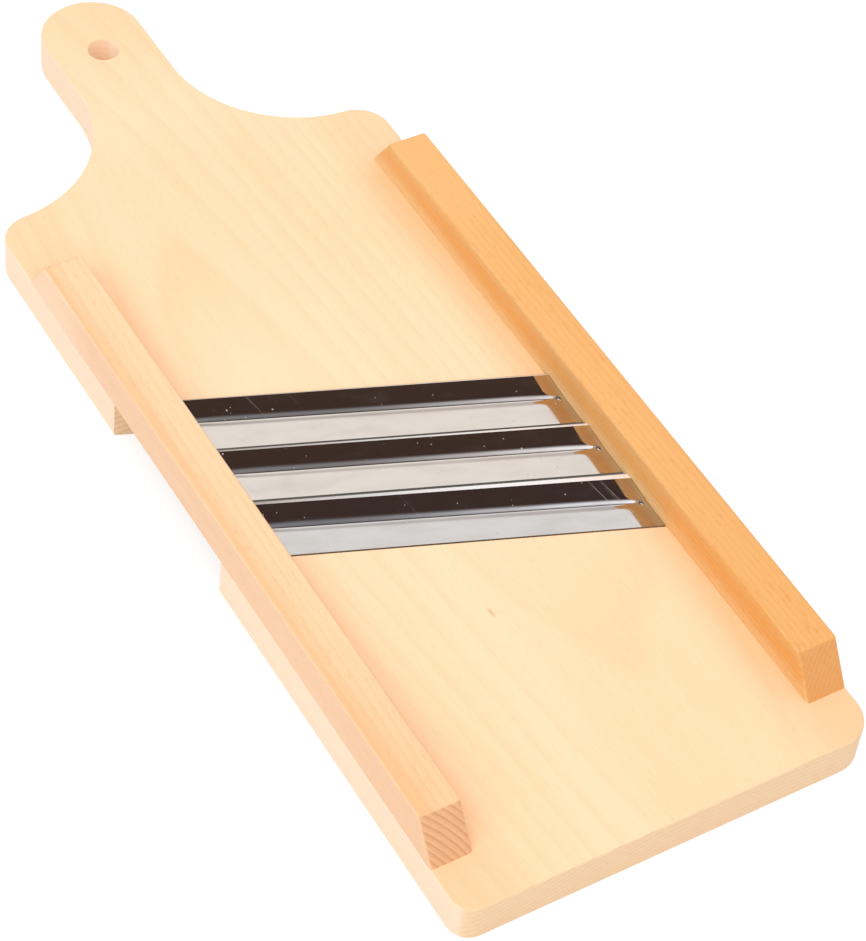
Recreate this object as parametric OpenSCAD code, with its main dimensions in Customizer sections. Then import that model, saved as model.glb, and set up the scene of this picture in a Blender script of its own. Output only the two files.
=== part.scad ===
// Wooden cabbage cutter: two boards held apart by a pair of side rails, with three
// steel blades set across the opening between them. The cabbage slides along the
// boards between the rails, and the slices fall through under the cutting edges.
// Millimetres. The origin is under the middle of the whole length, on the surface
// that the boards lie on. +Y runs towards the handle, +Z is up.

/* [Boards] */
// Width across the boards
board_w = 160; // [140:1:190]
// Thickness of both boards
board_t = 16; // [12:0.5:22]
// Length from the near end to the shoulders
body_len = 338; // [320:1:400]
// Radius of the boards' outer corners
corner_r = 13; // [6:0.5:20]
// Radius of the tighter corner at the left of the near end
near_left_r = 8; // [4:0.5:20]

/* [Handle] */
// Length from the shoulders to the tip
handle_len = 100; // [90:1:130]
// Width of the handle, which ends in a half circle
handle_w = 40; // [34:1:50]
// Radius of the hollow sweep from the handle into the shoulder
shoulder_r = 51; // [44:1:56]
// Diameter of the hanging hole
hang_d = 12; // [8:0.5:16]
// Distance from the tip to the centre of the hanging hole
hang_inset = 29.5; // [20:0.5:40]

/* [Rails] */
// Width of a rail
rail_w = 15.6; // [14:0.1:20]
// Height of a rail above the boards
rail_h = 16; // [12:0.5:20]
// Length of the left rail along its underside
left_rail_len = 287; // [270:0.5:305]
// Length of the right rail along its underside
right_rail_len = 290.5; // [270:0.5:305]
// Distance from the boards' near end to the rails
rail_inset = 19.5; // [15:0.5:30]
// Run of the sloping cut at each end of a rail
rail_slope = 10.5; // [0.5:0.1:15]
// Radius of a rail's long edges
rail_ease = 1.2; // [0.4:0.1:2]

/* [Opening] */
// Angle of the opening and the blades to the width of the boards
blade_angle = 20.5; // [10:0.5:25]
// Distance from the near end to the middle of the opening, on the centre line
opening_y = 169.3; // [160:0.1:180]
// Gap from the upper board to the first cutting edge
first_throat = 1.2; // [0.8:0.1:2.5]
// Gap from the last blade's heel to the lower board
heel_gap = 0.5; // [0.3:0.1:2]

/* [Blades] */
// Width of a blade from its cutting edge to its heel, seen from above
blade_w = 22.8; // [20:0.1:24]
// Thickness of the blade steel
blade_t = 0.8; // [0.5:0.05:1]
// Distance from one cutting edge to the next
blade_pitch = 25.05; // [24.4:0.05:27]
// Height of the heels' top face above the boards
heel_lift = 0.1; // [0:0.05:0.6]
// Rise of the half behind the bead, in degrees
heel_tilt = 2.5; // [1:0.1:4]
// Rise of the half with the cutting edge, in degrees
edge_tilt = 7.5; // [4:0.1:9]
// Width of the ground bevel along the cutting edge
bevel_w = 1.4; // [0.8:0.1:2.5]
// Distance from the cutting edge to the middle of the stiffening bead
bead_back = 11.6; // [10:0.1:13]
// Width of the pressed bead
bead_w = 4.6; // [3.6:0.1:6]
// Depth of the pressed bead, a groove above and a ridge below
bead_depth = 0.35; // [0.3:0.05:0.9]
// Distance from the end of the bead to the rail
bead_stop = 2.5; // [1:0.1:10]
// Depth of the slanted kerfs that hold the blades' ends
kerf_depth = 8; // [4:0.1:10]
// Clearance of a blade in its kerf, on every face
kerf_clear = 0.1; // [0.05:0.01:0.25]

/* [Screws] */
// Diameter of a rail screw's shank
screw_d = 4; // [3:0.1:5]
// Diameter of the countersunk head
screw_head_d = 8; // [7:0.1:10]
// Length of a screw
screw_len = 25; // [20:0.5:28]
// Depth of the heads below the boards' underside
screw_sink = 0.3; // [0.2:0.1:1]
// Distance from each end of a rail's seat to its screw
screw_inset = 15; // [10:0.5:18]
// Clearance round a screw
screw_clear = 0.05; // [0.03:0.01:0.2]
// Width of the cross recess in a head
recess_w = 1.1; // [0.8:0.1:1.4]
// Depth of the cross recess
recess_depth = 1.4; // [1:0.1:2]

/* [Hidden] */
$fn = 96;

// Boards
total_len = body_len + handle_len;
near_y = -total_len / 2;
tip_y = total_len / 2;
half_w = board_w / 2;
handle_r = handle_w / 2;
hang_y = tip_y - hang_inset;
// The hollow sweep and the rounded corner touch, so their centres lie on one line
shoulder_centre_x = handle_r + shoulder_r;
corner_x = half_w - corner_r;
corner_y = near_y + body_len - corner_r;
curve_sum = shoulder_r + corner_r;
curve_overlap = max(0, shoulder_centre_x - corner_x);
shoulder_centre_y = corner_y + sqrt(curve_sum ^ 2 - curve_overlap ^ 2);
flare_x = min(shoulder_centre_x, corner_x + corner_r * curve_overlap / curve_sum);

// Opening, measured across the blades from the origin, positive towards the handle
opening_w = first_throat + 2 * blade_pitch + blade_w + heel_gap;
opening_mid = (near_y + opening_y) * cos(blade_angle);
upper_cut = opening_mid + opening_w / 2;
lower_cut = opening_mid - opening_w / 2;

// Rails
rail_x = half_w - rail_w / 2;
rail_inner_x = half_w - rail_w;
rail_near_y = near_y + rail_inset;

// Blades: places across the blade count from the middle of the bead
heel_v = bead_back - blade_w;
bead_top = heel_lift - heel_v * tan(heel_tilt);
edge_top = bead_top + bead_back * tan(edge_tilt);
bevel_v = bead_back - bevel_w;
bevel_top = bead_top + bevel_v * tan(edge_tilt);
bead_r = (bead_w ^ 2 / 4 + bead_depth ^ 2) / (2 * bead_depth);
bead_axis = bead_top - bead_depth + bead_r;
bead_end_x = rail_inner_x - bead_stop - bead_w / 2;
blade_end_x = rail_inner_x + kerf_depth - kerf_clear;
blade_reach = 2 * board_w;

// Screws
screw_head_h = (screw_head_d - screw_d) / 2;
screw_point = screw_d;
screw_tip_z = screw_sink + screw_len;

// A margin by which cutting shapes run past what they cut
over = 1;

wood_board = [0.97, 0.84, 0.64];
wood_left_rail = [0.95, 0.78, 0.55];
wood_right_rail = [0.94, 0.70, 0.42];
steel = [0.78, 0.77, 0.76];
zinc = [0.70, 0.69, 0.66];

// Place along the length of a line that crosses the boards at the blades' angle
function cut_y(cut, x) = (cut - x * sin(blade_angle)) / cos(blade_angle);

// Far end of a rail's underside
function rail_far_y(side) = rail_near_y + (side < 0 ? left_rail_len : right_rail_len);

// Screw places along a rail: one near each end of its seat on either board
function screw_ys(side) = [
    rail_near_y + rail_slope + screw_inset,
    cut_y(lower_cut, side * rail_x) - screw_inset,
    cut_y(upper_cut, side * rail_x) + screw_inset,
    rail_far_y(side) - rail_slope - screw_inset
];

// Bent strip across the blade, as [across, up] from the bead and the boards' top
function strip_below(c) = [
    [bead_back + c, edge_top - blade_t - c],
    [0, bead_top - blade_t - c],
    [heel_v - c, heel_lift - blade_t - c]
];
function strip_section() = concat(strip_below(0), [
    [heel_v, heel_lift],
    [0, bead_top],
    [bevel_v, bevel_top]
]);
function kerf_section(c) = concat(strip_below(c), [
    [heel_v - c, heel_lift + c],
    [0, bead_top + c],
    [bead_back + c, edge_top + c]
]);
// Everything below the middle of the strip's thickness
function below_strip() = [
    [heel_v, heel_lift - blade_t / 2],
    [0, bead_top - blade_t / 2],
    [bevel_v, bevel_top - blade_t / 2],
    [bevel_v, -board_t],
    [heel_v, -board_t]
];

// Middle of a blade's bead, counted from the blade nearest the handle
function bead_q(i) = upper_cut - first_throat - i * blade_pitch - bead_back;

// Outline of the whole body before the opening is cut through it
module body_outline() {
    for (side = [-1, 1]) {
        translate([side * corner_x, corner_y]) circle(corner_r);
    }
    translate([corner_x, near_y + corner_r]) circle(corner_r);
    translate([near_left_r - half_w, near_y + near_left_r]) circle(near_left_r);
    polygon([
        [near_left_r - half_w, near_y],
        [corner_x, near_y],
        [half_w, near_y + corner_r],
        [half_w, corner_y],
        [corner_x, corner_y + corner_r],
        [-corner_x, corner_y + corner_r],
        [-half_w, corner_y],
        [-half_w, near_y + near_left_r]
    ]);
}

module handle_outline() {
    translate([-handle_r, corner_y]) square([handle_w, tip_y - handle_r - corner_y]);
    translate([0, tip_y - handle_r]) circle(handle_r);
    difference() {
        translate([-flare_x, corner_y]) square([2 * flare_x, shoulder_centre_y - corner_y]);
        for (side = [-1, 1]) {
            translate([side * shoulder_centre_x, shoulder_centre_y]) circle(shoulder_r);
        }
    }
}

// Clearance hole and countersink for one screw, from the underside up
module screw_hole() {
    translate([0, 0, -over]) cylinder(h = over + screw_sink, d = screw_head_d + 2 * screw_clear);
    translate([0, 0, screw_sink])
        cylinder(
            h = screw_head_h,
            d1 = screw_head_d + 2 * screw_clear,
            d2 = screw_d + 2 * screw_clear
        );
    cylinder(h = board_t + over, d = screw_d + 2 * screw_clear);
}

module screw_places(side) {
    for (y = screw_ys(side)) {
        translate([side * rail_x, y, 0]) children();
    }
}

module screw() {
    difference() {
        union() {
            translate([0, 0, screw_sink])
                cylinder(h = screw_head_h, d1 = screw_head_d, d2 = screw_d);
            translate([0, 0, screw_sink + screw_head_h])
                cylinder(h = screw_len - screw_head_h - screw_point, d = screw_d);
            translate([0, 0, screw_tip_z - screw_point])
                cylinder(h = screw_point, d1 = screw_d, d2 = screw_d / 4);
        }
        for (turn = [0, 90]) {
            rotate(turn)
                translate([-screw_d / 2, -recess_w / 2, screw_sink - over])
                    cube([screw_d, recess_w, over + recess_depth]);
        }
    }
}

// Moves a shape drawn across the blade, at the boards' top, to one blade's place
module at_blade(i) {
    translate([0, 0, board_t])
        rotate(-blade_angle)
            translate([0, bead_q(i), 0]) children();
}

// Extrudes a section of the blade along its length, past both rails
module along_blade(section) {
    rotate([90, 0, 90])
        linear_extrude(height = blade_reach, center = true) polygon(section);
}

// Round-ended bar along the bead, kept clear of both rails
module bead_bar(i, r) {
    ends = [for (side = [-1, 1])
        (side * bead_end_x - bead_q(i) * sin(blade_angle)) / cos(blade_angle)];
    translate([ends[0], 0, bead_axis])
        rotate([0, 90, 0]) cylinder(h = ends[1] - ends[0], r = r);
    for (u = ends) {
        translate([u, 0, bead_axis]) sphere(r);
    }
}

module between_rails(reach) {
    translate([-reach, near_y, 0]) cube([2 * reach, total_len, board_t + rail_h]);
}

module blade(i) {
    intersection() {
        between_rails(blade_end_x);
        at_blade(i) difference() {
            union() {
                along_blade(strip_section());
                intersection() {
                    bead_bar(i, bead_r + blade_t);
                    along_blade(below_strip());
                }
            }
            bead_bar(i, bead_r);
        }
    }
}

module rail_bar(far_y) {
    intersection() {
        translate([-rail_w / 2, 0, 0])
            rotate([90, 0, 90])
                linear_extrude(height = rail_w)
                    polygon([
                        [rail_near_y, 0],
                        [far_y, 0],
                        [far_y - rail_slope, rail_h],
                        [rail_near_y + rail_slope, rail_h]
                    ]);
        translate([0, far_y + over, 0])
            rotate([90, 0, 0])
                linear_extrude(height = far_y - rail_near_y + 2 * over) rail_section();
    }
}

module rail_section() {
    top = rail_h - rail_ease;
    for (side = [-1, 1]) {
        translate([side * (rail_w / 2 - rail_ease), top]) circle(rail_ease);
    }
    translate([-rail_w / 2, 0]) square([rail_w, top]);
    translate([rail_ease - rail_w / 2, 0]) square([rail_w - 2 * rail_ease, rail_h]);
}

module rail(side) {
    difference() {
        translate([side * rail_x, 0, board_t]) rail_bar(rail_far_y(side));
        intersection() {
            between_rails(rail_inner_x + kerf_depth);
            for (i = [0:2]) {
                at_blade(i) along_blade(kerf_section(kerf_clear));
            }
        }
        screw_places(side)
            translate([0, 0, board_t - over])
                cylinder(h = screw_tip_z - board_t + over + screw_clear, d = screw_d + 2 * screw_clear);
    }
}

module upper_board() {
    color(wood_board) difference() {
        linear_extrude(height = board_t) intersection() {
            union() {
                body_outline();
                handle_outline();
            }
            rotate(-blade_angle) translate([-total_len, upper_cut]) square(2 * total_len);
        }
        translate([0, hang_y, -over]) cylinder(h = board_t + 2 * over, d = hang_d);
        for (side = [-1, 1]) {
            screw_places(side) screw_hole();
        }
    }
}

module lower_board() {
    color(wood_board) difference() {
        linear_extrude(height = board_t) intersection() {
            body_outline();
            rotate(-blade_angle)
                translate([-total_len, lower_cut - 2 * total_len]) square(2 * total_len);
        }
        for (side = [-1, 1]) {
            screw_places(side) screw_hole();
        }
    }
}

module left_rail() {
    color(wood_left_rail) rail(-1);
}

module right_rail() {
    color(wood_right_rail) rail(1);
}

module front_blade() {
    color(steel) blade(2);
}

module middle_blade() {
    color(steel) blade(1);
}

module rear_blade() {
    color(steel) blade(0);
}

module left_rail_screws() {
    color(zinc) screw_places(-1) screw();
}

module right_rail_screws() {
    color(zinc) screw_places(1) screw();
}

upper_board();
lower_board();
left_rail();
right_rail();
front_blade();
middle_blade();
rear_blade();
left_rail_screws();
right_rail_screws();
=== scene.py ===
# Looks of a wooden cabbage cutter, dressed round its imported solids: beech boards and rails with
# eased edges and grain, and polished blades with a pressed bead and a ground cutting edge.
# Metres, in the frame of the solids: +X across the boards, +Y towards the handle, +Z up.
import math

import bmesh
import bpy
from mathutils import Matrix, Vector

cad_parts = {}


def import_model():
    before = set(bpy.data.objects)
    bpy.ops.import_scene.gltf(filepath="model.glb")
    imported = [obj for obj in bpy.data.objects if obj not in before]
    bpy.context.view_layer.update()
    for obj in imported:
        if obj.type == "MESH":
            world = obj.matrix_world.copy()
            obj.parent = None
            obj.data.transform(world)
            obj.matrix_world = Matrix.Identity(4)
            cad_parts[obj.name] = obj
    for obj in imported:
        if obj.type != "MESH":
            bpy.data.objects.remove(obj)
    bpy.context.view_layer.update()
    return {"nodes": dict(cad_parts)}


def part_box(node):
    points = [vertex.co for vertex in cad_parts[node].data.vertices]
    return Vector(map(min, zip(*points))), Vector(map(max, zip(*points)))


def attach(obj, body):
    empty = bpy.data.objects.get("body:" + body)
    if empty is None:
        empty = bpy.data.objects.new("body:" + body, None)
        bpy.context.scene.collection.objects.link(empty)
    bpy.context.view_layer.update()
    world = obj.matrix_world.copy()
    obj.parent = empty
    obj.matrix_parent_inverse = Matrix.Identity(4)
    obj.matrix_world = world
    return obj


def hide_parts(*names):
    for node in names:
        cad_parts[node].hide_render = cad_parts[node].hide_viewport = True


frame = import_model()

MM = 0.001

# Sizes shared with the solids
BLADE_ANGLE = math.radians(20.5)
BODY_LEN = 338 * MM
CORNER_R = 13 * MM
NEAR_LEFT_R = 8 * MM
HANDLE_W = 40 * MM
SHOULDER_R = 51 * MM
HANG_D = 12 * MM
HANG_INSET = 29.5 * MM
RAIL_SLOPE = 10.5 * MM
RAIL_EASE = 1.2 * MM
KERF_DEPTH = 8 * MM
KERF_CLEAR = 0.1 * MM
BLADE_W = 22.8 * MM
BLADE_T = 0.8 * MM
HEEL_LIFT = 0.1 * MM
HEEL_TILT = math.radians(2.5)
EDGE_TILT = math.radians(7.5)
BEAD_BACK = 11.6 * MM
SCREW_HOLE_D = 4.1 * MM
SCREW_HEAD_HOLE_D = 8.1 * MM
SCREW_SINK = 0.3 * MM
SCREW_INSET = 15 * MM

# Places that the solids give
LEFT, RIGHT = -1, 1
RAILS = {LEFT: "left_rail", RIGHT: "right_rail"}
BLADES = ["front_blade", "middle_blade", "rear_blade"]
lower_low, lower_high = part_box("lower_board")
upper_low, upper_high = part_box("upper_board")
right_rail_low, right_rail_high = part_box("right_rail")
HALF_W = lower_high.x
BOARD_T = lower_high.z
NEAR_Y = lower_low.y
TIP_Y = upper_high.y
RAIL_W = right_rail_high.x - right_rail_low.x
RAIL_INNER = right_rail_low.x
RAIL_NEAR_Y = right_rail_low.y
RAIL_FAR_Y = right_rail_high.y
RAIL_TOP = right_rail_high.z
SCREW_TIP_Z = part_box("left_rail_screws")[1].z
ALONG = math.cos(BLADE_ANGLE)
ACROSS = math.sin(BLADE_ANGLE)
UPPER_CUT = upper_low.y * ALONG + HALF_W * ACROSS
LOWER_CUT = lower_high.y * ALONG - HALF_W * ACROSS

# Softened edges, which sanding leaves on the wood; the sawn edges at the opening stay crisp
BOARD_EASE = 0.9 * MM
CUT_EASE = 0.2 * MM
HOLE_EASE = 0.5 * MM
EASE_STEPS = 4
# Degrees of an arc from one point of an outline to the next
ARC_STEP = 3.0
# Angles in degrees past which an edge of the wood and of a blade stays crisp
WOOD_CRISP = 40
BLADE_CRISP = 12
# Upward part of a hole wall's normal below which the wall takes the hole's material, with its painted light
STEEP = 0.3


def cut_y(cut, x):
    """Place along the length of a line that crosses the boards at the blades' angle."""
    return (cut - x * ACROSS) / ALONG


def smoothstep(t):
    t = min(1.0, max(0.0, t))
    return t * t * (3 - 2 * t)


def bulge(off):
    """Soft rise, 1 in the middle and 0 from a distance of 1 on."""
    return math.cos(math.pi / 2 * min(1.0, off)) ** 2


def spread(start, end, count):
    return [start + (end - start) * i / (count - 1) for i in range(count)]


def srgb(red, green, blue):
    """Linear colour, with full opacity, of a colour in everyday 0 to 255 values."""
    def linear(value):
        value = value / 255
        return value / 12.92 if value <= 0.04045 else ((value + 0.055) / 1.055) ** 2.4
    return (linear(red), linear(green), linear(blue), 1.0)


# Meshes

def new_object(name, bm):
    bmesh.ops.recalc_face_normals(bm, faces=bm.faces)
    mesh = bpy.data.meshes.new(name)
    bm.to_mesh(mesh)
    bm.free()
    made = bpy.data.objects.new(name, mesh)
    bpy.context.scene.collection.objects.link(made)
    return made


def stand_for(piece, node, slot, *materials):
    """Makes an object the look of one solid."""
    for material in materials:
        piece.data.materials.append(material)
    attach(piece, "root")
    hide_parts(node)


def smooth_piece(piece, crisp):
    """Smooth shading with crisp edges past an angle and flat faces kept flat."""
    piece.data.shade_smooth()
    piece.data.set_sharp_from_angle(angle=math.radians(crisp))
    even = piece.modifiers.new("even_faces", "WEIGHTED_NORMAL")
    even.keep_sharp = True


def arc(centre, radius, start, end):
    """Points of an arc, with both ends, by angles in degrees."""
    steps = max(2, math.ceil(abs(end - start) / ARC_STEP))
    angles = [math.radians(a) for a in spread(start, end, steps + 1)]
    return [Vector((centre[0] + radius * math.cos(a), centre[1] + radius * math.sin(a))) for a in angles]


def circle_ring(centre, radius, z):
    return [Vector((*p, z)) for p in arc(centre, radius, 0, 360)[:-1]]


def inset(outline, distance, cut_distance):
    """The outline moved inwards. Its last edge but one, the sawn cut, moves by its own distance."""
    moved = []
    cut_edge = len(outline) - 2
    for i, point in enumerate(outline):
        before = (point - outline[i - 1]).normalized()
        after = (outline[(i + 1) % len(outline)] - point).normalized()
        ins = [Vector((-d.y, d.x)) for d in (before, after)]
        gaps = [cut_distance if edge == cut_edge else distance for edge in (i - 1, i)]
        facing = ins[0].dot(ins[1])
        if gaps[0] == gaps[1]:
            step = (ins[0] + ins[1]) * gaps[0] / (1 + facing)
        else:
            shares = [gaps[0] - facing * gaps[1], gaps[1] - facing * gaps[0]]
            step = (ins[0] * shares[0] + ins[1] * shares[1]) / (1 - facing ** 2)
        moved.append(point + step)
    return moved


def ease_profile(ease):
    """Quarter round from a face to a wall, as [distance in from the wall, distance from the face]."""
    angles = spread(0, math.pi / 2, EASE_STEPS + 1)
    return [(ease * (1 - math.sin(a)), ease * (1 - math.cos(a))) for a in angles]


def add_rings(bm, rings, capped=False):
    """Joins closed rings of points with a skin, and returns the rings' vertices."""
    made = [[bm.verts.new(point) for point in ring] for ring in rings]
    for low, high in zip(made, made[1:]):
        for i in range(len(low)):
            j = (i + 1) % len(low)
            bm.faces.new((low[i], low[j], high[j], high[i]))
    if capped:
        for ring in (made[0], made[-1]):
            bm.faces.new(ring)
    return made


def ring_edges(bm, ring):
    return [bm.edges.get((ring[i - 1], ring[i])) for i in range(len(ring))]


# Boards

def hanging_hole():
    """The eased hole near the tip, as its centre and [radius, height] from below up."""
    round_off = ease_profile(HOLE_EASE)
    profile = [(HANG_D / 2 + wide, up) for wide, up in round_off]
    profile += [(HANG_D / 2 + wide, BOARD_T - up) for wide, up in reversed(round_off)]
    return (0, TIP_Y - HANG_INSET), profile


def screw_places(side):
    """Screw places along a rail: one near each end of its seat on either board."""
    x = side * (RAIL_INNER + RAIL_W / 2)
    rail_far_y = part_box(RAILS[side])[1].y
    ys = [
        RAIL_NEAR_Y + RAIL_SLOPE + SCREW_INSET,
        cut_y(LOWER_CUT, x) - SCREW_INSET,
        cut_y(UPPER_CUT, x) + SCREW_INSET,
        rail_far_y - RAIL_SLOPE - SCREW_INSET,
    ]
    return [(x, y) for y in ys]


def screw_holes(choose):
    """Countersunk holes through one board, for the chosen pair of each rail's screws."""
    head_r = SCREW_HEAD_HOLE_D / 2
    shank_r = SCREW_HOLE_D / 2
    head_h = head_r - shank_r
    profile = [(head_r, 0), (head_r, SCREW_SINK), (shank_r, SCREW_SINK + head_h), (shank_r, BOARD_T)]
    return [(place, profile) for side in RAILS for place in screw_places(side)[choose]]


def board(node, outline, holes, *materials):
    """A board with eased edges all round and holes through it, bored walls in the last material."""
    bm = bmesh.new()
    walls = list(zip(ease_profile(BOARD_EASE), ease_profile(CUT_EASE)))
    rings = []
    for (wide, up), (cut_wide, _) in walls:
        rings.append([Vector((*p, up)) for p in inset(outline, wide, cut_wide)])
    for (wide, up), (cut_wide, _) in reversed(walls):
        rings.append([Vector((*p, BOARD_T - up)) for p in inset(outline, wide, cut_wide)])
    loops = [add_rings(bm, rings)]
    outer_count = len(bm.faces)
    for centre, profile in holes:
        loops.append(add_rings(bm, [circle_ring(centre, r, z) for r, z in profile]))
    bm.faces.ensure_lookup_table()
    bm.normal_update()
    for face in bm.faces[outer_count:]:
        if abs(face.normal.z) < STEEP:
            face.material_index = len(materials) - 1
    for end in (0, -1):
        edges = [edge for made in loops for edge in ring_edges(bm, made[end])]
        bmesh.ops.triangle_fill(bm, use_beauty=True, edges=edges)
    piece = new_object("beech_" + node, bm)
    stand_for(piece, node, "board_wood", *materials)
    smooth_piece(piece, WOOD_CRISP)


def upper_outline():
    """Right half up from the opening to the tip, then its mirror image down again."""
    handle_r = HANDLE_W / 2
    corner = Vector((HALF_W - CORNER_R, NEAR_Y + BODY_LEN - CORNER_R))
    sweep_x = handle_r + SHOULDER_R
    reach = SHOULDER_R + CORNER_R
    sweep_y = corner.y + math.sqrt(reach ** 2 - (sweep_x - corner.x) ** 2)
    turn = math.degrees(math.atan2(sweep_y - corner.y, sweep_x - corner.x))
    half = arc(corner, CORNER_R, 0, turn)
    half += arc((sweep_x, sweep_y), SHOULDER_R, 180 + turn, 180)[1:]
    half += arc((0, TIP_Y - handle_r), handle_r, 0, 90)
    mirrored = [Vector((-p.x, p.y)) for p in reversed(half[:-1])]
    ends = [Vector((x, cut_y(UPPER_CUT, x))) for x in (-HALF_W, HALF_W)]
    return half + mirrored + ends


def lower_outline():
    left = (NEAR_LEFT_R - HALF_W, NEAR_Y + NEAR_LEFT_R)
    right = (HALF_W - CORNER_R, NEAR_Y + CORNER_R)
    near = arc(left, NEAR_LEFT_R, 180, 270) + arc(right, CORNER_R, 270, 360)
    return near + [Vector((x, cut_y(LOWER_CUT, x))) for x in (HALF_W, -HALF_W)]


# Blades: places across a blade count from its bend, v, towards the cutting edge

HEEL_V = BEAD_BACK - BLADE_W
BEND_Z = HEEL_LIFT - HEEL_V * math.tan(HEEL_TILT)
BEND_SOFT = 1.2 * MM
BLADE_END = RAIL_INNER + KERF_DEPTH - KERF_CLEAR
# How far each blade's edge and heel reach past the solid's, and its bevel at the left and right end
EDGE_REACH = {"front_blade": 0.5 * MM, "middle_blade": 0.3 * MM, "rear_blade": 0.0}
HEEL_REACH = {"front_blade": 0.0, "middle_blade": -0.4 * MM, "rear_blade": 0.0}
BEVELS = {
    "front_blade": (1.5 * MM, 2.3 * MM),
    "middle_blade": (1.2 * MM, 1.4 * MM),
    "rear_blade": (0.9 * MM, 0.9 * MM),
}
# Where the bottom of each blade's bead lies at the left and the right rail: not quite along the edge
BEAD_LINES = {
    "front_blade": (0.85 * MM, -0.75 * MM),
    "middle_blade": (1.25 * MM, 0.55 * MM),
    "rear_blade": (1.15 * MM, 0.3 * MM),
}
# Gap from the bead to a rail, and the stretches over which it narrows and then runs out
BEAD_STOP = 1.3 * MM
BEAD_TAPER = 14 * MM
BEAD_TIP = 1.2 * MM
# Width that is left of the bead at its ends, and how much deeper than in the middle it is on the right
BEAD_END_WIDTH = 0.75
BEAD_DEEPER = 0.15
# Slopes in degrees that the bead adds to the strip, by the distance in mm from the bead's bottom
NEAR_WALL = [(0, 0), (0.3, 6), (0.6, 10), (1.1, 12), (1.7, 11), (2.2, 7), (2.7, 3), (3.4, 1), (5, 0)]
FAR_WALL = [(0, 0), (0.3, 6), (0.8, 9), (1.3, 8.5), (1.8, 4.6), (2.5, 1.8), (3.3, 0.8), (4.2, 0)]
BEAD_STEP = 0.1 * MM
# The punch's mark at each end of the bead, and how far its middle is from that end
DIMPLE_DEPTH = 0.25 * MM
DIMPLE_R = 0.9 * MM
DIMPLE_BACK = 1.6 * MM
# Points across each flat of a blade and across its bead
FLAT_POINTS = 5
BEAD_POINTS = 93
# Stretch round the bead's end, before and past it, in which a blade's stations are close together
CLOSE_BEFORE = 3 * MM
CLOSE_PAST = 1 * MM
# Stations from the middle of a blade to that stretch, over it and on to the blade's end
LONG_STATIONS = 48
TIP_STATIONS = 40
END_STATIONS = 6


def strip_z(v):
    """Height of the bent strip's top above the boards, without the bead."""
    heel, edge = math.tan(HEEL_TILT), math.tan(EDGE_TILT)
    soft = math.sqrt(v * v + BEND_SOFT ** 2) - BEND_SOFT
    return BEND_Z + (heel + edge) / 2 * v + (edge - heel) / 2 * soft


def between(points, place):
    """Value at a place on a line through [place, value] points, 0 before the first and past the last."""
    for (start, low), (end, high) in zip(points, points[1:]):
        if start <= place < end:
            return low + (high - low) * (place - start) / (end - start)
    return 0.0


def wall_heights(wall):
    """One wall of the bead as [distance, height] from the bead's bottom, a step apart."""
    heights = [0.0]
    reach = wall[-1][0] * MM
    for step in range(round(reach / BEAD_STEP)):
        slope = between(wall, (step + 0.5) * BEAD_STEP / MM)
        heights.append(heights[-1] + BEAD_STEP * math.tan(math.radians(slope)))
    return [(i * BEAD_STEP, height) for i, height in enumerate(heights)]


NEAR_HEIGHTS = wall_heights(NEAR_WALL)
FAR_HEIGHTS = wall_heights(FAR_WALL)
BEAD_DEPTH = FAR_HEIGHTS[-1][1]


def along_blade(ends, x):
    """Value at a place along a blade, from its values at the left and the right rail."""
    return ends[0] + (ends[1] - ends[0]) * (x + RAIL_INNER) / (2 * RAIL_INNER)


def bead_z(node, x, v):
    """Depth of the pressed bead: a groove with a gentle far wall and a steep near one with a long
    foot. It gets deeper to the right, narrows towards the rails and ends short of them in the
    dimple of the punch."""
    off_line = v - along_blade(BEAD_LINES[node], x)
    left = RAIL_INNER - BEAD_STOP - abs(x)
    full = BEAD_END_WIDTH + (1 - BEAD_END_WIDTH) * smoothstep(left / BEAD_TAPER)
    depth = BEAD_DEPTH * (1 + BEAD_DEEPER * smoothstep(x / RAIL_INNER))
    off = off_line / full
    wall = FAR_HEIGHTS if off > 0 else NEAR_HEIGHTS
    reach, top = wall[-1]
    height = between(wall, abs(off)) / top if abs(off) < reach else 1.0
    run_out = bulge(max(0.0, 1 - left / BEAD_TIP))
    dimple = bulge(math.hypot(off_line, left - DIMPLE_BACK) / DIMPLE_R)
    return depth * run_out * (1 - height) + DIMPLE_DEPTH * dimple


def blade_point(bend_q, x, v, z):
    return Vector((x, cut_y(bend_q + v, x), BOARD_T + z))


def blade_bend_q(node):
    """Place of a blade's bend, measured across the blades, from the solid's far corner."""
    low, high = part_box(node)
    return high.y * ALONG + low.x * ACROSS - BEAD_BACK


def blade_reach(node):
    """Places of a blade's heel and of its cutting edge."""
    return HEEL_V - HEEL_REACH[node], BEAD_BACK + EDGE_REACH[node]


def blade_stations():
    """Places along a blade: close together where the bead runs out."""
    bead_end = RAIL_INNER - BEAD_STOP
    close_start = bead_end - CLOSE_BEFORE
    close_end = bead_end + CLOSE_PAST
    half = spread(0, close_start, LONG_STATIONS)
    half += spread(close_start, close_end, TIP_STATIONS)[1:]
    half += spread(close_end, BLADE_END, END_STATIONS)[1:]
    return [-x for x in reversed(half[1:])] + half


def blade_tops(node, x):
    """Places across a blade's top face from its heel to its bevel: close together over the bead."""
    heel_v, tip_v = blade_reach(node)
    bead_v = along_blade(BEAD_LINES[node], x)
    bead_near = bead_v - NEAR_HEIGHTS[-1][0]
    bead_far = bead_v + FAR_HEIGHTS[-1][0]
    tops = spread(heel_v, bead_near, FLAT_POINTS)
    tops += spread(bead_near, bead_far, BEAD_POINTS)[1:]
    tops += spread(bead_far, tip_v - along_blade(BEVELS[node], x), FLAT_POINTS)[1:]
    return tops


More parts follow.
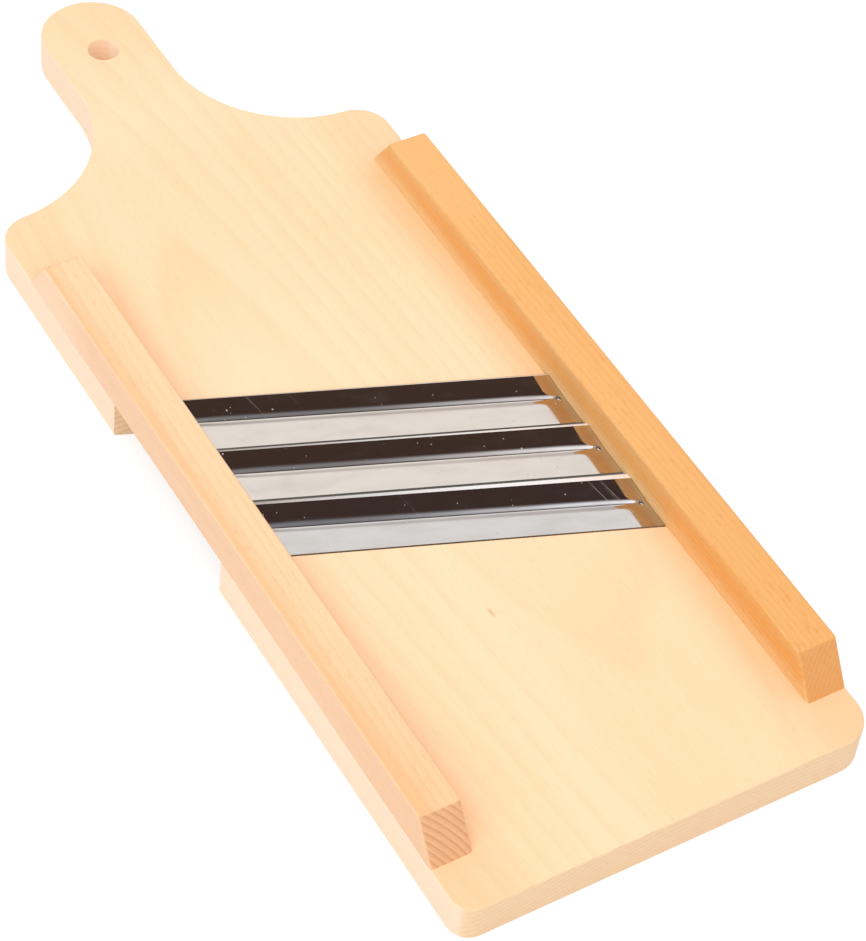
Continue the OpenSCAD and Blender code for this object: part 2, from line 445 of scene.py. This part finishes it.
def blade(node, steel, ground_edge):
    """A bent strip with its bead, ground to an edge along one side."""
    bm = bmesh.new()
    bend_q = blade_bend_q(node)
    _, tip_v = blade_reach(node)
    rings = []
    for x in blade_stations():
        tops = blade_tops(node, x)
        under = [tip_v] + list(reversed(tops))
        ring = [blade_point(bend_q, x, v, strip_z(v) - bead_z(node, x, v)) for v in tops]
        ring += [blade_point(bend_q, x, v, strip_z(v) - bead_z(node, x, v) - BLADE_T) for v in under]
        rings.append(ring)
    made = add_rings(bm, rings, capped=True)
    bevel_top = len(tops) - 1
    for low, high in zip(made, made[1:]):
        edge = bm.edges.get((low[bevel_top], high[bevel_top]))
        face = next(f for f in edge.link_faces if low[bevel_top + 1] in f.verts)
        face.material_index = 1
    piece = new_object("polished_" + node, bm)
    stand_for(piece, node, "blade_steel", steel, ground_edge)
    smooth_piece(piece, BLADE_CRISP)


# Rails

def kerf_rings(node, side):
    """Slanted slot in a rail for one blade's end, open towards the other rail."""
    bend_q = blade_bend_q(node)
    blade_heel_v, tip_v = blade_reach(node)
    bevel_v = tip_v - BEVELS[node][side == RIGHT]
    heel_v = blade_heel_v - KERF_CLEAR
    end_v = tip_v + KERF_CLEAR
    above = [(v, strip_z(v) + KERF_CLEAR) for v in (heel_v, 0, bevel_v)]
    below = [(v, strip_z(v) - BLADE_T - KERF_CLEAR) for v in (end_v, 0, heel_v)]
    section = above + [(end_v, strip_z(tip_v) - BLADE_T + KERF_CLEAR)] + below
    return [[blade_point(bend_q, side * x, v, z) for v, z in section]
            for x in (RAIL_INNER - MM, RAIL_INNER + KERF_DEPTH)]


def rail_cutter(side):
    """Everything that is cut out of a rail: the blades' kerfs and the screws' holes."""
    bm = bmesh.new()
    for node in BLADES:
        add_rings(bm, kerf_rings(node, side), capped=True)
    for place in screw_places(side):
        bore = [circle_ring(place, SCREW_HOLE_D / 2, z) for z in (BOARD_T - MM, SCREW_TIP_Z)]
        add_rings(bm, bore, capped=True)
    return new_object("cutter", bm)


def carve(piece, cutter):
    """Cuts the cutter's shape out of the piece for good, and removes the cutter."""
    cut = piece.modifiers.new("carve", "BOOLEAN")
    cut.operation = "DIFFERENCE"
    cut.solver = "EXACT"
    cut.object = cutter
    bpy.context.view_layer.update()
    carved = piece.evaluated_get(bpy.context.evaluated_depsgraph_get())
    mesh = bpy.data.meshes.new_from_object(carved)
    piece.modifiers.clear()
    piece.data = mesh
    bpy.data.objects.remove(cutter)


def rail(side, material):
    """A rail with sloping ends and eased edges, slotted for the blades and bored for its screws."""
    bm = bmesh.new()
    node = RAILS[side]
    rail_far_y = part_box(node)[1].y
    profile = [
        (RAIL_NEAR_Y, BOARD_T),
        (rail_far_y, BOARD_T),
        (rail_far_y - RAIL_SLOPE, RAIL_TOP),
        (RAIL_NEAR_Y + RAIL_SLOPE, RAIL_TOP),
    ]
    faces = [side * x for x in (RAIL_INNER, RAIL_INNER + RAIL_W)]
    add_rings(bm, [[(x, y, z) for y, z in profile] for x in faces], capped=True)
    eased = [e for e in bm.edges if any(v.co.z > BOARD_T + RAIL_EASE for v in e.verts)]
    bmesh.ops.bevel(bm, geom=eased, offset=RAIL_EASE, segments=EASE_STEPS, profile=0.5, affect="EDGES")
    piece = new_object("beech_" + node, bm)
    carve(piece, rail_cutter(side))
    stand_for(piece, node, node + "_wood", material)
    smooth_piece(piece, WOOD_CRISP)


# Materials

class Graph:
    """Short way to add nodes to a material: a value is either a constant or another node's output."""

    def __init__(self, tree):
        self.tree = tree

    def add(self, kind, inputs=None, **settings):
        node = self.tree.nodes.new(kind)
        for name, value in settings.items():
            setattr(node, name, value)
        for name, value in (inputs or {}).items():
            if isinstance(value, bpy.types.NodeSocket):
                self.tree.links.new(value, node.inputs[name])
            else:
                node.inputs[name].default_value = value
        return node

    def link(self, value, shader, name):
        self.tree.links.new(value, shader.inputs[name])

    def math(self, operation, first, second=0.0, third=0.0, clamp=False):
        settings = {"operation": operation, "use_clamp": clamp}
        return self.add("ShaderNodeMath", {0: first, 1: second, 2: third}, **settings).outputs[0]

    def vector(self, operation, first, second):
        return self.add("ShaderNodeVectorMath", {0: first, 1: second}, operation=operation).outputs[0]

    def length(self, vector):
        return self.add("ShaderNodeVectorMath", {0: vector}, operation="LENGTH").outputs["Value"]

    def axis(self, vector, name):
        return self.add("ShaderNodeSeparateXYZ", {0: vector}).outputs[name]

    def off(self, vector, name):
        """Distance from 0 along one axis, to either side."""
        return self.math("ABSOLUTE", self.axis(vector, name))

    def turned(self, vector, rotation, location=(0, 0, 0)):
        inputs = {"Vector": vector, "Rotation": rotation, "Location": location}
        return self.add("ShaderNodeMapping", inputs).outputs[0]

    def noise(self, vector, scale, detail=2.0):
        """Soft noise, stretched by its own scale along each axis, in patches per metre."""
        stretched = self.add("ShaderNodeMapping", {"Vector": vector, "Scale": scale}).outputs[0]
        inputs = {"Vector": stretched, "Scale": 1.0, "Detail": detail}
        return self.add("ShaderNodeTexNoise", inputs).outputs[0]

    def ramp(self, value, low, high, start=0.0, end=1.0):
        """Smooth change from start to end as the value goes from low to high."""
        inputs = {"Value": value, "From Min": low, "From Max": high, "To Min": start, "To Max": end}
        return self.add("ShaderNodeMapRange", inputs, interpolation_type="SMOOTHSTEP").outputs[0]

    def mix(self, factor, first, second):
        return self.add("ShaderNodeMix", {0: factor, 6: first, 7: second}, data_type="RGBA").outputs[2]

    def bump(self, shader, height, strength, distance):
        inputs = {"Height": height, "Strength": strength, "Distance": distance}
        self.link(self.add("ShaderNodeBump", inputs).outputs[0], shader, "Normal")


def new_material(name):
    material = bpy.data.materials.new(name)
    material.use_nodes = True
    graph = Graph(material.node_tree)
    shader = next(n for n in material.node_tree.nodes if n.type == "BSDF_PRINCIPLED")
    return material, graph, shader


def object_place(graph):
    return graph.add("ShaderNodeTexCoord").outputs["Object"]


# Beech: patches per metre of each kind of grain across, along and across the log
RING_SWAY = (14, 1.6, 14)
MOTTLE = (24, 3.0, 24)
FIBRE = (1300, 26, 1300)
DASHES = (1700, 260, 1700)
PORES = (2400, 40, 2400)
RAYS = (2200, 40, 160)
SHEEN = (200, 20, 200)
# How far the rings stray from true circles, and the turn of the rays in the end grain
SWAY_REACH = 9 * MM
RAY_TURN = 0.8
# Parts of the noise that show as each kind of mark, from none to full
MOTTLE_SHOWS = (0.3, 0.72)
FLECK_SHOWS = (0.58, 0.74)
PORE_SHOWS = (0.5, 0.75)
# How sharply late wood swells within a year, and the part of the year at which it breaks off
LATE_SWELL = 2.5
LATE_BREAK = 0.86
# How much each kind of grain deepens the tone
LATE_DEPTH = 0.3
MOTTLE_DEPTH = 0.28
FIBRE_DEPTH = 0.36
PORE_DEPTH = 0.22
RAY_DEPTH = 0.3
# Painted light on a rail's sides: they deepen from its foot up to here and get paler again below its top
# edge
FOOT_LOW, FOOT_HIGH = BOARD_T + 1.5 * MM, BOARD_T + 8 * MM
EDGE_LOW, EDGE_LIGHT = RAIL_TOP - 6 * MM, 0.45
# The deeper tone beside the rails, painted shade on the boards, fades where they end
FADE_LOW, FADE_HIGH, FADE_LEFT = RAIL_FAR_Y - 12 * MM, RAIL_FAR_Y + 8 * MM, 0.3
# Half the knot's width and length, how plain it is in its middle, and its tone
KNOT_HALF_W, KNOT_HALF_LEN = 1.2 * MM, 3.5 * MM
KNOT_DEPTH = 0.5
KNOT_TONE = srgb(204, 172, 120)
# How far a face has to turn sideways, or towards an end, to show that grain
SIDEWAYS = (0.45, 0.8)
ENDWAYS = (0.5, 0.85)
# Roughness of the sanded wood, its gloss, and how deep its pores and fibres are felt
WOOD_ROUGH = (0.52, 0.66)
WOOD_GLOSS = 0.25
FLECK_RELIEF = 0.4
RELIEF_STRENGTH, RELIEF_HEIGHT = 0.12, 0.15 * MM


def growth_rings(graph, log, ring_gap):
    """Late wood of the yearly rings round the log's centre line: it swells outwards and ends at once."""
    radius = graph.length(graph.vector("MULTIPLY", log, (1, 0, 1)))
    swayed = graph.math("MULTIPLY_ADD", graph.noise(log, RING_SWAY), SWAY_REACH, radius)
    ring = graph.math("FRACT", graph.math("DIVIDE", swayed, ring_gap))
    return graph.math("MULTIPLY", graph.math("POWER", ring, LATE_SWELL), graph.ramp(ring, 1.0, LATE_BREAK))


def long_grain(graph, log, late, fibre, flecks, fleck):
    """How deep the tone is on the faces along the grain."""
    mottle = graph.ramp(graph.noise(log, MOTTLE, 3.0), *MOTTLE_SHOWS)
    grain = graph.math("MULTIPLY_ADD", late, LATE_DEPTH, graph.math("MULTIPLY", mottle, MOTTLE_DEPTH))
    grain = graph.math("MULTIPLY_ADD", graph.math("SUBTRACT", fibre, 0.5), FIBRE_DEPTH, grain)
    return graph.math("MULTIPLY_ADD", flecks, fleck, grain)


def end_grain(graph, log, late, ring_depth):
    """How deep the tone is on the faces across the grain, with their rings, pores and rays."""
    pores = graph.ramp(graph.noise(log, PORES, 1.0), *PORE_SHOWS)
    rays = graph.noise(graph.turned(log, (0, RAY_TURN, 0)), RAYS, 1.0)
    depth = graph.math("MULTIPLY_ADD", late, ring_depth, graph.math("MULTIPLY", pores, PORE_DEPTH))
    return graph.math("MULTIPLY_ADD", rays, RAY_DEPTH, depth, clamp=True)


def top_tone(graph, place, grain, aside):
    """Depth of the tone on top, which grows to either side as far as the rails reach."""
    if aside:
        start, stop, depth = aside
        deeper = graph.ramp(graph.off(place, "X"), start * MM, stop * MM, 0.0, depth)
        beside_rails = graph.ramp(graph.axis(place, "Y"), FADE_LOW, FADE_HIGH, 1.0, FADE_LEFT)
        grain = graph.math("MULTIPLY_ADD", deeper, beside_rails, grain)
    return graph.math("MAXIMUM", grain, 0.0, clamp=True)


def side_tone(graph, place, grain, rise):
    """Depth of the tone on the sides, with painted light that changes with the height on a rail."""
    height = graph.axis(place, "Z")
    side_light = graph.ramp(height, FOOT_LOW, FOOT_HIGH)
    side_light = graph.math("SUBTRACT", side_light, graph.ramp(height, EDGE_LOW, RAIL_TOP, 0.0, EDGE_LIGHT))
    return graph.math("MULTIPLY_ADD", side_light, rise, grain, clamp=True)


def add_knot(graph, place, colour, knot):
    """The colour with a small brown knot on top of the board."""
    off = graph.vector("SUBTRACT", place, (*knot, BOARD_T))
    off = graph.length(graph.vector("MULTIPLY", off, (1 / KNOT_HALF_W, 1 / KNOT_HALF_LEN, 0)))
    return graph.mix(graph.ramp(off, 1.0, 0.2, 0.0, KNOT_DEPTH), colour, KNOT_TONE)


def beech(name, face, side, end, heart, lean, ring_gap, ring_depth, fleck,
          aside=None, drift=(), rise=0.0, knot=None):
    """Sanded beech with its grain along Y. face, side and end are the pale and the deep tone of the
    faces that look up, sideways and along the grain. heart is a point on the log's centre line and
    lean its tilt, so the same growth rings show as flames on the faces and as arcs on the end grain.
    aside is [from, to, how much] for the stretch in mm to either side over which the top gets deeper,
    drift lists [from, to, how much on top, how much on the sides] for stretches along Y in mm, and
    rise is how much painted light deepens a rail's sides above its foot, with a paler band below its top
    edge. knot is the place of a knot on top."""
    material, graph, shader = new_material(name)
    coords = graph.add("ShaderNodeTexCoord")
    place, normal = coords.outputs["Object"], coords.outputs["Normal"]
    log = graph.turned(place, lean, heart)
    late = growth_rings(graph, log, ring_gap)
    fibre = graph.noise(log, FIBRE)
    flecks = graph.ramp(graph.noise(log, DASHES, 1.0), *FLECK_SHOWS)

    on_top = on_side = long_grain(graph, log, late, fibre, flecks, fleck)
    for start, stop, top_change, side_change in drift:
        stretch = graph.ramp(graph.axis(place, "Y"), start * MM, stop * MM)
        on_top = graph.math("MULTIPLY_ADD", stretch, top_change, on_top)
        on_side = graph.math("MULTIPLY_ADD", stretch, side_change, on_side)
    top = graph.mix(top_tone(graph, place, on_top, aside), *face)
    if knot:
        top = add_knot(graph, place, top, knot)
    flank = graph.mix(side_tone(graph, place, on_side, rise), *side)
    cut = graph.mix(end_grain(graph, log, late, ring_depth), *end)
    sideways = graph.ramp(graph.off(normal, "X"), *SIDEWAYS)
    endways = graph.ramp(graph.off(normal, "Y"), *ENDWAYS)
    graph.link(graph.mix(endways, graph.mix(sideways, top, flank), cut), shader, "Base Color")

    graph.link(graph.ramp(graph.noise(log, SHEEN), 0.3, 0.7, *WOOD_ROUGH), shader, "Roughness")
    shader.inputs["Specular IOR Level"].default_value = WOOD_GLOSS
    relief = graph.math("SUBTRACT", fibre, graph.math("MULTIPLY", flecks, FLECK_RELIEF))
    graph.bump(shader, relief, RELIEF_STRENGTH, RELIEF_HEIGHT)
    return material


UPPER_LOG = {"heart": (0.03, 0, 0.11), "lean": (0.03, 0, 0.02), "ring_gap": 2.6 * MM}
LOWER_LOG = {"heart": (-0.02, 0.3, 0.22), "lean": (-0.02, 0, -0.03), "ring_gap": 2.4 * MM}


def board_beech(name, **grown):
    """Pale wood of the boards, a little deeper towards both ends, with painted shade beside the rails."""
    return beech(
        name,
        face=(srgb(255, 224, 185), srgb(252, 204, 157)),
        # the sides' paler, pinker tone is partly the edge grain and partly painted light
        side=(srgb(254, 225, 198), srgb(252, 211, 181)),
        end=(srgb(247, 216, 177), srgb(224, 177, 131)),
        fleck=0.25,
        # painted shade on top beside the rails, deepening towards them
        aside=(48, 65, 0.6),
        drift=[(-80, -219, 0.2, 0.2), (0, 80, 0.22, 0.05), (110, 150, -0.2, 0.0), (150, 205, 0.26, 0.2)],
        **grown)


def hole_light_beech():
    """Wall of a bored hole, painted paler than the boards and given a faint glow: both stand for the light
    that bounces about in there.
    """
    material = beech(
        "hole_light_beech",
        face=(srgb(255, 240, 214), srgb(252, 222, 186)),
        side=(srgb(255, 240, 220), srgb(252, 222, 192)),
        end=(srgb(255, 232, 206), srgb(246, 206, 168)),
        fleck=0.22,
        ring_depth=0.5,
        **UPPER_LOG)
    shader = material.node_tree.nodes["Principled BSDF"]
    shader.inputs["Emission Color"].default_value = srgb(255, 202, 166)
    shader.inputs["Emission Strength"].default_value = 0.065
    return material


def left_rail_beech():
    """Pale wood with broad rings, deeper along its outer edge and at the near end."""
    return beech(
        "left_rail_beech",
        face=(srgb(253, 214, 172), srgb(242, 188, 138)),
        side=(srgb(249, 216, 184), srgb(238, 192, 153)),
        end=(srgb(240, 188, 143), srgb(193, 130, 86)),
        heart=(0.105, 0, 0.012), lean=(0.0, 0.0, 0.02), ring_gap=2.0 * MM, ring_depth=0.7,
        fleck=0.35,
        aside=(71, 79.5, 0.5),
        drift=[(-100, -190, 0.4, 0.2), (65, 35, 0.0, 0.4)])


def right_rail_beech():
    """Redder wood than the other pieces, paler at the far end, with painted light on its sides: paler at
    the foot and below the top edge.
    """
    return beech(
        "right_rail_beech",
        face=(srgb(244, 185, 119), srgb(229, 156, 81)),
        side=(srgb(234, 199, 146), srgb(230, 159, 79)),
        end=(srgb(234, 169, 102), srgb(201, 132, 71)),
        heart=(-0.122, 0, 0.026), lean=(0.0, 0.0, -0.02), ring_gap=1.7 * MM, ring_depth=0.3,
        fleck=0.35,
        drift=[(0, 95, -0.5, -0.12), (-60, -200, 0.25, 0.12)],
        # painted light on the sides: deeper above the foot, paler below the top edge
        rise=0.52)


# Steel: patches per metre of each kind of mark along, across and through the strip
ROLL_LINES = (40, 4000, 40)
CLOUDS = (60, 160, 60)
SCRATCHES = (14, 1900, 14)
WAVES = (18, 60, 18)
GRIND_LINES = (5000, 120, 120)
SCRATCH_TURN = 1.0
SCRATCH_DEPTH = 0.35
# Coarse and fine dust: grains per metre, their radius as a share of the gap between them, the share
# of places that stay bare, and how plain the grains are
DUST = ((190.0, 0.085, 0.7, 0.9), (430.0, 0.14, 0.8, 0.5))
DUST_TONE = (0.9, 0.88, 0.85, 1)
# Stretch over which a painted highlight makes the ground edge brighter to the right
GLINT_FROM, GLINT_TO = -70 * MM, 60 * MM


def blade_marks(graph, strip):
    """Stray scratches and specks of dust, from 0 on bare steel up to 1."""
    aslant = graph.turned(strip, (0, 0, SCRATCH_TURN))
    scratch = graph.ramp(graph.noise(aslant, SCRATCHES, 0.0), 0.8, 0.84)
    marks = graph.math("MULTIPLY", scratch, SCRATCH_DEPTH)
    for scale, radius, bare, depth in DUST:
        grains = graph.add("ShaderNodeTexVoronoi", {"Vector": strip, "Scale": scale})
        pick = graph.add("ShaderNodeSeparateColor", {0: grains.outputs["Color"]}).outputs[0]
        speck = graph.ramp(grains.outputs["Distance"], radius, radius / 2, 0.0, depth)
        speck = graph.math("MULTIPLY", speck, graph.math("GREATER_THAN", pick, bare))
        marks = graph.math("MAXIMUM", marks, speck)
    return marks


def polished_steel(name, pale, deep):
    """Bright rolled strip with faint lengthwise lines, stray scratches and specks of dust."""
    material, graph, shader = new_material(name)
    strip = graph.turned(object_place(graph), (0, 0, BLADE_ANGLE))
    lines = graph.noise(strip, ROLL_LINES)
    cloud = graph.noise(strip, CLOUDS, 3.0)
    marks = blade_marks(graph, strip)
    steel = graph.mix(graph.ramp(cloud, 0.35, 0.75), pale, deep)
    graph.link(graph.mix(marks, steel, DUST_TONE), shader, "Base Color")
    shader.inputs["Metallic"].default_value = 1.0
    rough = graph.math("MULTIPLY_ADD", lines, 0.05, graph.ramp(cloud, 0.4, 0.8, 0.03, 0.08))
    graph.link(graph.math("MULTIPLY_ADD", marks, 0.5, rough), shader, "Roughness")
    graph.bump(shader, graph.noise(strip, WAVES, 1.0), 0.1, 0.2 * MM)
    return material


def ground_steel():
    """Cutting edge with the fine lines of the grinding wheel, square to the edge. Its pale tone is partly
    the ground steel and partly a painted highlight, which grows brighter to the right.
    """
    material, graph, shader = new_material("ground_steel")
    strip = graph.turned(object_place(graph), (0, 0, BLADE_ANGLE))
    lines = graph.noise(strip, GRIND_LINES)
    painted_glint = graph.ramp(graph.axis(strip, "X"), GLINT_FROM, GLINT_TO)
    # painted highlight: the ground edge's tone brightens to the right
    ground = graph.mix(painted_glint, (0.46, 0.4, 0.37, 1), (1.0, 0.97, 0.95, 1))
    lined = graph.mix(graph.math("MULTIPLY", lines, 0.2), ground, (0.6, 0.54, 0.5, 1))
    graph.link(lined, shader, "Base Color")
    shader.inputs["Metallic"].default_value = 0.15
    graph.link(graph.ramp(lines, 0.2, 0.8, 0.4, 0.55), shader, "Roughness")
    return material


def zinc():
    """Plated screw with a dull crystalline cast."""
    material, graph, shader = new_material("zinc_plate")
    cast = graph.noise(object_place(graph), (900, 900, 900), 3.0)
    graph.link(graph.mix(cast, (0.50, 0.50, 0.48, 1), (0.68, 0.67, 0.63, 1)), shader, "Base Color")
    shader.inputs["Metallic"].default_value = 1.0
    graph.link(graph.ramp(cast, 0.3, 0.7, 0.3, 0.45), shader, "Roughness")
    return material


# Stage

FLOOR_REACH = 6.0
FLOOR_DROP = 0.2 * MM
FLOOR_TONE = (0.9, 0.9, 0.9, 1)
FLOOR_SHADE = (0.35, 0.35, 0.35, 1)
# Brightness of the floor below the blades, kept low there as painted shade over the real shadow, and how
# much brighter it is in the open
THROAT_GLOW = 0.1
OPEN_GLOW = 0.62
# Edges of the painted shade below the blades: past the left rail's face, the right side and each cut
DARK_LEFT = (-RAIL_INNER - 2 * MM, -RAIL_INNER - 7 * MM)
DARK_RIGHT = (RAIL_INNER + 8 * MM, HALF_W + 2 * MM)
DARK_PAST_CUT = (2 * MM, 8 * MM)
# Light of the surroundings, and what a blade adds to it when it throws it on the wood
SKY_LIGHT = 0.83
THROWN_LIGHT = 0.81
# How much brighter than white the backdrop is in the blades' own reflections
MIRRORED_LIGHT = 0.19
# Elevations in degrees over which reflections pass from backdrop to dark gap, and from gap to lamp
GAP_START = (56.5, 58.5)
LAMP_START = (65, 82)
GAP_TONE = (0.06, 0.036, 0.03, 1)
# Tones of the lamp and of the low backdrop, left and right, and the leftward slants between them
LAMP_TONES = ((0.27, 0.275, 0.31, 1), (2.2, 2.25, 2.43, 1))
LAMP_SLANTS = (0.14, 0.28)
LOW_TONES = ((0.34, 0.33, 0.34, 1), (0.66, 0.63, 0.63, 1))
LOW_SLANTS = (0.06, 0.18)
# Heights on a unit sphere over which the backdrop passes into its low, greyer part
LOW_HEIGHTS = (0.77, 0.62)
WHITE = (1, 1, 1, 1)


def seen_rays(graph):
    """1 for rays in a reflection that is seen itself, 1 for those that a blade throws on the wood,
    and 1 for all rays that show the background: the first, and those to the camera or through glass."""
    path = graph.add("ShaderNodeLightPath")
    plain = graph.math("LESS_THAN", path.outputs["Diffuse Depth"], 0.5)
    mirrored = graph.math("MULTIPLY", path.outputs["Is Glossy Ray"], plain)
    thrown = graph.math("SUBTRACT", path.outputs["Is Glossy Ray"], mirrored)
    seen = graph.math("MAXIMUM", path.outputs["Is Camera Ray"], mirrored)
    return mirrored, thrown, graph.math("MAXIMUM", seen, path.outputs["Is Transmission Ray"])


def open_floor(graph):
    """1 on the floor in the open and 0 on the patch of painted shade below the blades."""
    place = object_place(graph)
    strip = graph.turned(place, (0, 0, BLADE_ANGLE))
    middle = (UPPER_CUT + LOWER_CUT) / 2
    half = (UPPER_CUT - LOWER_CUT) / 2
    across = graph.math("ABSOLUTE", graph.math("SUBTRACT", graph.axis(strip, "Y"), middle))
    past_cut = graph.ramp(across, *[half + past for past in DARK_PAST_CUT])
    aside = graph.axis(place, "X")
    outside = graph.math("MAXIMUM", graph.ramp(aside, *DARK_LEFT), graph.ramp(aside, *DARK_RIGHT))
    return graph.math("MAXIMUM", past_cut, outside)


def floor():
    """Pale floor that stays white to the camera, with painted shade below the blades, in the opening."""
    bm = bmesh.new()
    bmesh.ops.create_grid(bm, x_segments=1, y_segments=1, size=FLOOR_REACH)
    ground = new_object("floor", bm)
    ground.location.z = -FLOOR_DROP
    material = bpy.data.materials.new("floor_white")
    material.use_nodes = True
    material.node_tree.nodes.clear()
    graph = Graph(material.node_tree)
    _, _, seen = seen_rays(graph)
    plain = graph.add("ShaderNodeBsdfDiffuse", {"Color": FLOOR_TONE})
    shadowed = graph.add("ShaderNodeBsdfDiffuse", {"Color": FLOOR_SHADE})
    strength = graph.math("MULTIPLY_ADD", open_floor(graph), OPEN_GLOW, THROAT_GLOW)
    glow = graph.add("ShaderNodeEmission", {"Strength": strength})
    both = graph.add("ShaderNodeAddShader", {0: shadowed.outputs[0], 1: glow.outputs[0]})
    out = graph.add("ShaderNodeMixShader", {0: seen, 1: plain.outputs[0], 2: both.outputs[0]})
    graph.add("ShaderNodeOutputMaterial", {"Surface": out.outputs[0]})
    ground.data.materials.append(material)


def reflected_sky(graph, mirrored):
    """White backdrop that the camera sees. Reflections also see its greyer foot, a dark gap above it
    and, overhead, a bluish lamp that is brighter towards the right."""
    way = graph.add("ShaderNodeTexCoord").outputs["Generated"]
    height = graph.axis(way, "Z")
    slant = graph.axis(graph.turned(way, (0, 0, BLADE_ANGLE)), "X")
    gap_heights = [math.sin(math.radians(a)) for a in GAP_START]
    lamp_heights = [math.sin(math.radians(a)) for a in LAMP_START]
    lamp_tone = graph.mix(graph.ramp(slant, *LAMP_SLANTS), *LAMP_TONES)
    upper = graph.mix(graph.ramp(height, *lamp_heights), GAP_TONE, lamp_tone)
    low_tone = graph.mix(graph.ramp(slant, *LOW_SLANTS), *LOW_TONES)
    low = graph.math("MULTIPLY", graph.ramp(height, *LOW_HEIGHTS), mirrored)
    overhead = graph.math("MULTIPLY", graph.ramp(height, *gap_heights), mirrored)
    return graph.mix(overhead, graph.mix(low, WHITE, low_tone), upper)


def world():
    """Even white light, with the backdrop in view."""
    shell = bpy.data.worlds.new("studio")
    bpy.context.scene.world = shell
    shell.use_nodes = True
    shell.node_tree.nodes.clear()
    graph = Graph(shell.node_tree)
    mirrored, thrown, seen = seen_rays(graph)
    bright = graph.math("MULTIPLY_ADD", mirrored, MIRRORED_LIGHT, 1.0)
    shown = graph.add("ShaderNodeBackground", {"Color": reflected_sky(graph, mirrored), "Strength": bright})
    power = graph.math("MULTIPLY_ADD", thrown, THROWN_LIGHT, SKY_LIGHT)
    light = graph.add("ShaderNodeBackground", {"Color": WHITE, "Strength": power})
    out = graph.add("ShaderNodeMixShader", {0: seen, 1: light.outputs[0], 2: shown.outputs[0]})
    graph.add("ShaderNodeOutputWorld", {"Surface": out.outputs[0]})


def lamp(name, place, target, size, power):
    """Soft square lamp aimed at a point, kept out of the blades' reflections."""
    data = bpy.data.lights.new(name, "AREA")
    data.size = size
    data.energy = power
    light = bpy.data.objects.new(name, data)
    bpy.context.scene.collection.objects.link(light)
    light.location = place
    light.rotation_euler = (Vector(target) - Vector(place)).to_track_quat("-Z", "Y").to_euler()
    light.visible_glossy = False


def camera(place, turn, lens, sensor):
    """Camera at a place, turned by angles in degrees."""
    data = bpy.data.cameras.new("camera")
    data.sensor_width = sensor
    data.lens = lens
    view = bpy.data.objects.new("camera", data)
    bpy.context.scene.collection.objects.link(view)
    view.location = place
    view.rotation_euler = [math.radians(a) for a in turn]
    bpy.context.scene.camera = view


def dress_wood():
    upper_wood = board_beech("upper_beech", ring_depth=0.7, **UPPER_LOG)
    knot = (-9.5 * MM, -119.1 * MM)
    lower_wood = board_beech("lower_beech", ring_depth=0.35, knot=knot, **LOWER_LOG)
    hole_light_wood = hole_light_beech()
    upper_holes = [hanging_hole()] + screw_holes(slice(2, 4))
    board("upper_board", upper_outline(), upper_holes, upper_wood, hole_light_wood)
    board("lower_board", lower_outline(), screw_holes(slice(0, 2)), lower_wood, hole_light_wood)
    rail(LEFT, left_rail_beech())
    rail(RIGHT, right_rail_beech())


def dress_steel():
    front_steel = polished_steel("front_steel", (0.58, 0.553, 0.536, 1), (0.533, 0.506, 0.486, 1))
    steel = polished_steel("polished_steel", (0.645, 0.588, 0.538, 1), (0.596, 0.538, 0.487, 1))
    ground_edge = ground_steel()
    for node, blade_steel in zip(BLADES, (front_steel, steel, steel)):
        blade(node, blade_steel, ground_edge)
    plated = zinc()
    for node in ("left_rail_screws", "right_rail_screws"):
        screws = frame["nodes"][node]
        screws.data.materials.clear()
        screws.data.materials.append(plated)


dress_wood()
dress_steel()
floor()
world()
lamp("key_lamp", place=(-0.95, -0.5, 1.9), target=(0, 0, 0), size=2.4, power=23.0)
# The photograph's viewpoint
camera(place=(-0.42104, -0.64968, 0.83326), turn=(41.586, -4.722, -30.356), lens=120.98, sensor=36.0)
bpy.context.scene.view_settings.view_transform = "Standard"
